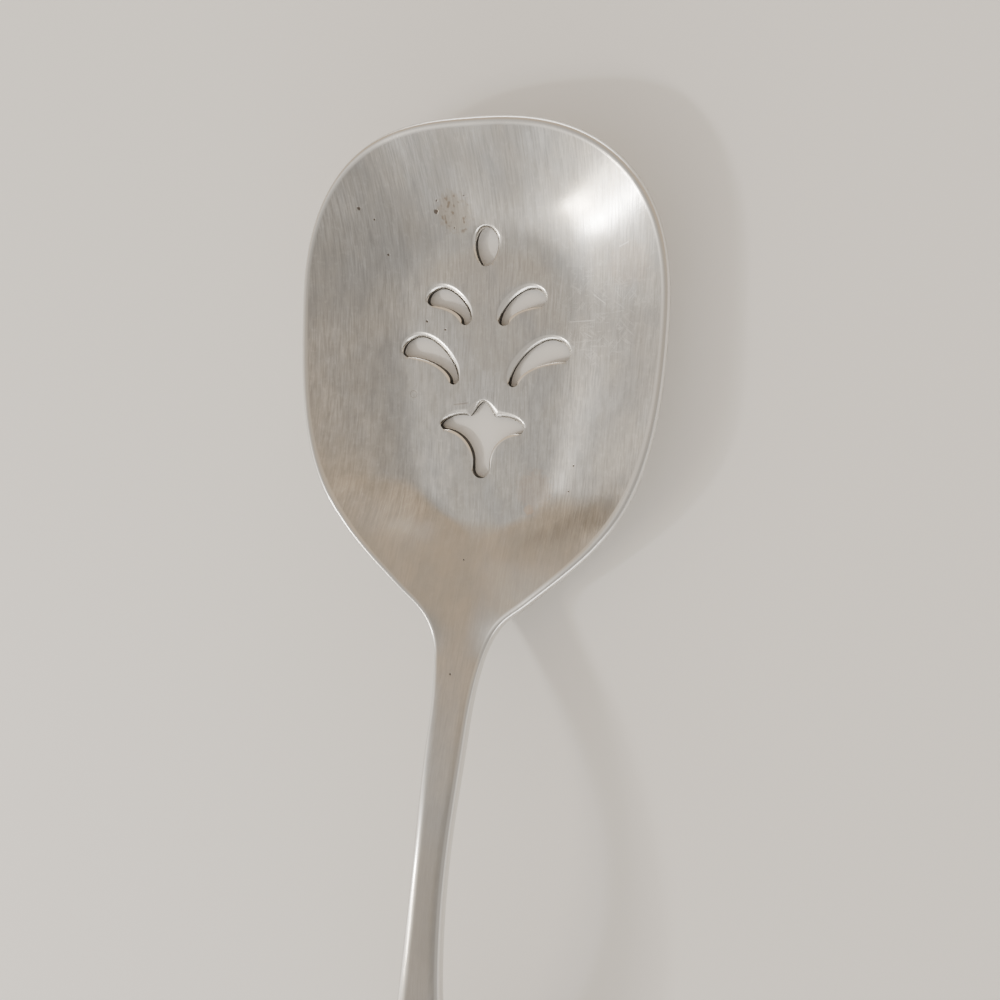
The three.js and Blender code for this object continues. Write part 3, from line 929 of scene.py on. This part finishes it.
# floor, lights and camera
studio = {
    "floorSize": 20,
    "floorColour": (0.93, 0.925, 0.91, 1),
    "floorRoughness": 0.7,
    "leftSky": (0.95, 0.89, 0.81, 1),
    "rightSky": (0.56, 0.52, 0.47, 1),
    "lowSky": (1.3, 1.23, 1.13, 1),              # near the horizon
    "farSky": (0.76, 0.61, 0.455, 1),            # beyond the tip
    "band": (6, 5.8, 5.5, 1),                    # at the horizon, beyond the tip and the handle
    "glow": (1.15, 1.07, 0.95, 1),               # round the lamp
    "glowWay": (-0.747, -0.428, 0.508),
    "leftRange": (0.15, -0.7),                   # direction's share in X, Z or Y: from none to full
    "lowRange": (0.45, 0.05),
    "farRange": (-0.1, 0.5),
    "bandEnds": (0.72, 0.95),
    "bandRange": (0.38, 0.22),
    "glowRange": (0.85, 0.995),                  # direction's nearness to the glow's middle
    "panelAim": (0, 0.005, 0),
    "panels": {                                  # direction, distance, size, brightness and tint
        "lamp": ((-0.645, -0.47, 0.6), 0.8, (0.19, 0.03), 65, (1, 0.9, 0.75)),
        "glint": ((-0.73, -0.37, 0.58), 0.8, (0.035, 0.035), 320, (1, 0.97, 0.92)),
    },
    "cameraPlace": (0.03693, 0.00177, 0.10277),
    "cameraTurn": (-10.1125, 18.7413, 1.8935),   # degrees
    "lens": 27.036,                              # millimetres
    "sensor": 36,
    "clipStart": 0.001,
}


def addPanel(name, way, distance, size, brightness, tint):
    way = np.array(way) / np.linalg.norm(way)
    turn = (math.acos(way[2]), 0, math.atan2(way[1], way[0]) + math.pi / 2)
    bpy.ops.object.light_add(type="AREA", location=way * distance + studio["panelAim"], rotation=turn)
    panel = bpy.context.object
    panel.name = name
    panel.data.shape = "RECTANGLE"
    panel.data.size, panel.data.size_y = size
    panel.data.energy = brightness * math.pi * size[0] * size[1]
    panel.data.color = tint


# soft sky: brighter on the left, near the horizon and round the lamp, beige beyond the tip
def addSky():
    world = bpy.data.worlds.new("studio")
    bpy.context.scene.world = world
    world.use_nodes = True
    tree = world.node_tree
    way = tree.nodes.new("ShaderNodeTexCoord").outputs["Generated"]
    parts = addNode(tree, "ShaderNodeSeparateXYZ", {"Vector": way}).outputs
    toLeft = ranged(tree, parts["X"], *studio["leftRange"])
    colour = blended(tree, toLeft, studio["rightSky"], studio["leftSky"])
    colour = blended(tree, ranged(tree, parts["Z"], *studio["lowRange"]), colour, studio["lowSky"])
    colour = blended(tree, ranged(tree, parts["Y"], *studio["farRange"]), colour, studio["farSky"])
    ends = ranged(tree, sums(tree, "ABSOLUTE", parts["Y"], 0.0), *studio["bandEnds"])
    band = sums(tree, "MULTIPLY", ends, ranged(tree, parts["Z"], *studio["bandRange"]))
    colour = blended(tree, band, colour, studio["band"])
    towards = vectors(tree, "DOT_PRODUCT", way, studio["glowWay"], "Value")
    colour = blended(tree, ranged(tree, towards, *studio["glowRange"]), colour, studio["glow"], "ADD")
    tree.links.new(colour, tree.nodes["Background"].inputs["Color"])


def makeStudio():
    bpy.ops.mesh.primitive_plane_add(size=studio["floorSize"])
    floor = bpy.context.object
    floor.name = "floor"
    material = bpy.data.materials.new("pale_floor")
    material.use_nodes = True
    shader = material.node_tree.nodes["Principled BSDF"]
    shader.inputs["Base Color"].default_value = studio["floorColour"]
    shader.inputs["Roughness"].default_value = studio["floorRoughness"]
    floor.data.materials.append(material)

    addSky()
    for name, values in studio["panels"].items():
        addPanel(name, *values)

    bpy.ops.object.camera_add(location=studio["cameraPlace"],
                              rotation=[math.radians(turn) for turn in studio["cameraTurn"]])
    camera = bpy.context.object
    camera.data.lens = studio["lens"]
    camera.data.sensor_width = studio["sensor"]
    camera.data.clip_start = studio["clipStart"]
    bpy.context.scene.camera = camera
    print("studio set")


makeStudio()
